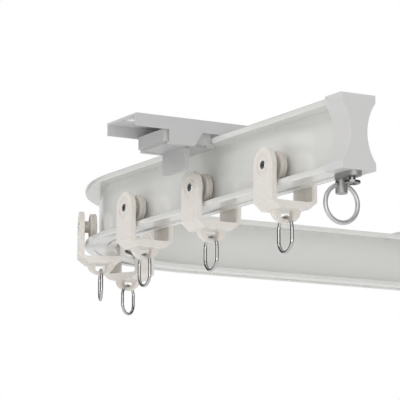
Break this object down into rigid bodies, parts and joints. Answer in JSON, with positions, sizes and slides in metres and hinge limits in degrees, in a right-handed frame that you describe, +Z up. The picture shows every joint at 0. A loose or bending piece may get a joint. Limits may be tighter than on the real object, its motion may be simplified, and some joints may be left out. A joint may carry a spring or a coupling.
{
  "type": "curtain rod with brackets",
  "caption": "Ceiling-mounted curtain rail of I-section with a right-angle bend, clamp brackets, end caps and stops, and two-wheeled gliders carrying oval rings.",
  "frame": {"origin": "on the ceiling, over the rail's centreline, in the middle of the near bracket", "axes": "+Z up; the near leg runs along +Y from its free end, turns to the right through the bend and leaves along +X"},
  "size_m": [0.3417, 0.3417, 0.0646],
  "materials": {
    "rail_coating": "white gloss powder coat on extruded aluminium",
    "cap_plastic": "white moulded plastic, satin",
    "stop_zinc": "satin grey die-cast zinc",
    "end_ring_steel": "satin grey plated steel wire",
    "screw_steel": "bright plated steel",
    "bracket_coating": "white coated pressed sheet",
    "clamp_plastic": "white moulded plastic, gloss",
    "glider_plastic": "warm white moulded plastic, slight gloss",
    "wheel_plastic": "warm white moulded plastic, satin",
    "pin_chrome": "bright plated tubular pin",
    "ring_chrome": "bright plated wire"
  },
  "bodies": {
    "rail_body": {"rail": "rail_coating", "near_end_cap": "cap_plastic", "far_end_cap": "cap_plastic", "near_stop": "stop_zinc", "far_stop": "stop_zinc", "near_stop_screw": "screw_steel", "far_stop_screw": "screw_steel", "near_bracket": "bracket_coating", "far_bracket": "bracket_coating"},
    "near_clamp": {"near_bracket_clamp": "clamp_plastic"},
    "far_clamp": {"far_bracket_clamp": "clamp_plastic"},
    "near_ring": {"near_stop_ring": "end_ring_steel"},
    "far_ring": {"far_stop_ring": "end_ring_steel"},
    "glider_1": {"glider_1_yoke": "glider_plastic", "glider_1_pins": "pin_chrome"},
    "glider_1_outer_roller": {"glider_1_outer_wheel": "wheel_plastic"},
    "glider_1_inner_roller": {"glider_1_inner_wheel": "wheel_plastic"},
    "glider_1_ring": {"glider_1_oval_ring": "ring_chrome"},
    "glider_2": {"glider_2_yoke": "glider_plastic", "glider_2_pins": "pin_chrome"},
    "glider_2_outer_roller": {"glider_2_outer_wheel": "wheel_plastic"},
    "glider_2_inner_roller": {"glider_2_inner_wheel": "wheel_plastic"},
    "glider_2_ring": {"glider_2_oval_ring": "ring_chrome"},
    "glider_3": {"glider_3_yoke": "glider_plastic", "glider_3_pins": "pin_chrome"},
    "glider_3_outer_roller": {"glider_3_outer_wheel": "wheel_plastic"},
    "glider_3_inner_roller": {"glider_3_inner_wheel": "wheel_plastic"},
    "glider_3_ring": {"glider_3_oval_ring": "ring_chrome"},
    "glider_4": {"glider_4_yoke": "glider_plastic", "glider_4_pins": "pin_chrome"},
    "glider_4_outer_roller": {"glider_4_outer_wheel": "wheel_plastic"},
    "glider_4_inner_roller": {"glider_4_inner_wheel": "wheel_plastic"},
    "glider_4_ring": {"glider_4_oval_ring": "ring_chrome"},
    "glider_5": {"glider_5_yoke": "glider_plastic", "glider_5_pins": "pin_chrome"},
    "glider_5_outer_roller": {"glider_5_outer_wheel": "wheel_plastic"},
    "glider_5_inner_roller": {"glider_5_inner_wheel": "wheel_plastic"},
    "glider_5_ring": {"glider_5_oval_ring": "ring_chrome"}
  },
  "joints": [
    {"name": "near_clamp_slide", "type": "slide", "parent": "rail_body", "child": "near_clamp", "axis": [-1, 0, 0], "range_m": [0, 0.004]},
    {"name": "far_clamp_slide", "type": "slide", "parent": "rail_body", "child": "far_clamp", "axis": [0, 1, 0], "range_m": [0, 0.004]},
    {"name": "near_ring_swing", "type": "hinge", "parent": "rail_body", "child": "near_ring", "pos_m": [0, -0.104, -0.04175], "axis": [1, 0, 0], "range_deg": [-60, 60]},
    {"name": "far_ring_swing", "type": "hinge", "parent": "rail_body", "child": "far_ring", "pos_m": [0.2825, 0.1785, -0.04175], "axis": [0, 1, 0], "range_deg": [-60, 60]},
    {"name": "glider_1_travel", "type": "slide", "parent": "rail_body", "child": "glider_1", "axis": [0, 1, 0], "range_m": [-0.019, 0.022]},
    {"name": "glider_1_outer_roll", "type": "hinge", "parent": "glider_1", "child": "glider_1_outer_roller", "pos_m": [-0.00425, -0.0611, -0.02765], "axis": [-1, 0, 0], "range_deg": [-165, 191]},
    {"name": "glider_1_inner_roll", "type": "hinge", "parent": "glider_1", "child": "glider_1_inner_roller", "pos_m": [0.00425, -0.0611, -0.02765], "axis": [-1, 0, 0], "range_deg": [-165, 191]},
    {"name": "glider_1_ring_swing", "type": "hinge", "parent": "glider_1", "child": "glider_1_ring", "pos_m": [0, -0.0611, -0.04895], "axis": [0, 1, 0], "range_deg": [-75, 75]},
    {"name": "glider_2_travel", "type": "slide", "parent": "rail_body", "child": "glider_2", "axis": [0, 1, 0], "range_m": [-0.022, 0.022]},
    {"name": "glider_2_outer_roll", "type": "hinge", "parent": "glider_2", "child": "glider_2_outer_roller", "pos_m": [-0.00425, 0.0012, -0.02765], "axis": [-1, 0, 0], "range_deg": [-191, 191]},
    {"name": "glider_2_inner_roll", "type": "hinge", "parent": "glider_2", "child": "glider_2_inner_roller", "pos_m": [0.00425, 0.0012, -0.02765], "axis": [-1, 0, 0], "range_deg": [-191, 191]},
    {"name": "glider_2_ring_swing", "type": "hinge", "parent": "glider_2", "child": "glider_2_ring", "pos_m": [0, 0.0012, -0.04895], "axis": [0, 1, 0], "range_deg": [-75, 75]},
    {"name": "glider_3_travel", "type": "slide", "parent": "rail_body", "child": "glider_3", "axis": [0, 1, 0], "range_m": [-0.022, 0.014]},
    {"name": "glider_3_outer_roll", "type": "hinge", "parent": "glider_3", "child": "glider_3_outer_roller", "pos_m": [-0.00425, 0.0637, -0.02765], "axis": [-1, 0, 0], "range_deg": [-191, 122]},
    {"name": "glider_3_inner_roll", "type": "hinge", "parent": "glider_3", "child": "glider_3_inner_roller", "pos_m": [0.00425, 0.0637, -0.02765], "axis": [-1, 0, 0], "range_deg": [-191, 122]},
    {"name": "glider_3_ring_swing", "type": "hinge", "parent": "glider_3", "child": "glider_3_ring", "pos_m": [0, 0.0637, -0.04895], "axis": [0, 1, 0], "range_deg": [-75, 75]},
    {"name": "glider_4_travel", "type": "hinge", "parent": "rail_body", "child": "glider_4", "pos_m": [0.0905, 0.088, -0.022], "axis": [0, 0, -1], "range_deg": [-11, 11]},
    {"name": "glider_4_outer_roll", "type": "hinge", "parent": "glider_4", "child": "glider_4_outer_roller", "pos_m": [0.00236, 0.12276, -0.02765], "axis": [-0.9303, 0.3669, 0], "range_deg": [-158, 158]},
    {"name": "glider_4_inner_roll", "type": "hinge", "parent": "glider_4", "child": "glider_4_inner_roller", "pos_m": [0.01027, 0.11965, -0.02765], "axis": [-0.9303, 0.3669, 0], "range_deg": [-144, 144]},
    {"name": "glider_4_ring_swing", "type": "hinge", "parent": "glider_4", "child": "glider_4_ring", "pos_m": [0.00631, 0.12121, -0.04895], "axis": [0.3669, 0.9303, 0], "range_deg": [-75, 75]},
    {"name": "glider_5_travel", "type": "hinge", "parent": "rail_body", "child": "glider_5", "pos_m": [0.0905, 0.088, -0.022], "axis": [0, 0, -1], "range_deg": [-16, 22]},
    {"name": "glider_5_outer_roll", "type": "hinge", "parent": "glider_5", "child": "glider_5_outer_roller", "pos_m": [0.04351, 0.17028, -0.02765], "axis": [-0.4959, 0.8684, 0], "range_deg": [-230, 316]},
    {"name": "glider_5_inner_roll", "type": "hinge", "parent": "glider_5", "child": "glider_5_inner_roller", "pos_m": [0.04773, 0.1629, -0.02765], "axis": [-0.4959, 0.8684, 0], "range_deg": [-210, 288]},
    {"name": "glider_5_ring_swing", "type": "hinge", "parent": "glider_5", "child": "glider_5_ring", "pos_m": [0.04562, 0.16659, -0.04895], "axis": [0.8684, 0.4959, 0], "range_deg": [-75, 75]}
  ],
  "couplings": [
    {"joint": "glider_1_outer_roll", "follows": "glider_1_travel", "rad_per_m": 151.52},
    {"joint": "glider_1_inner_roll", "follows": "glider_1_travel", "rad_per_m": 151.52},
    {"joint": "glider_2_outer_roll", "follows": "glider_2_travel", "rad_per_m": 151.52},
    {"joint": "glider_2_inner_roll", "follows": "glider_2_travel", "rad_per_m": 151.52},
    {"joint": "glider_3_outer_roll", "follows": "glider_3_travel", "rad_per_m": 151.52},
    {"joint": "glider_3_inner_roll", "follows": "glider_3_travel", "rad_per_m": 151.52},
    {"joint": "glider_4_outer_roll", "follows": "glider_4_travel", "ratio": 14.356},
    {"joint": "glider_4_inner_roll", "follows": "glider_4_travel", "ratio": 13.068},
    {"joint": "glider_5_outer_roll", "follows": "glider_5_travel", "ratio": 14.356},
    {"joint": "glider_5_inner_roll", "follows": "glider_5_travel", "ratio": 13.068}
  ]
}
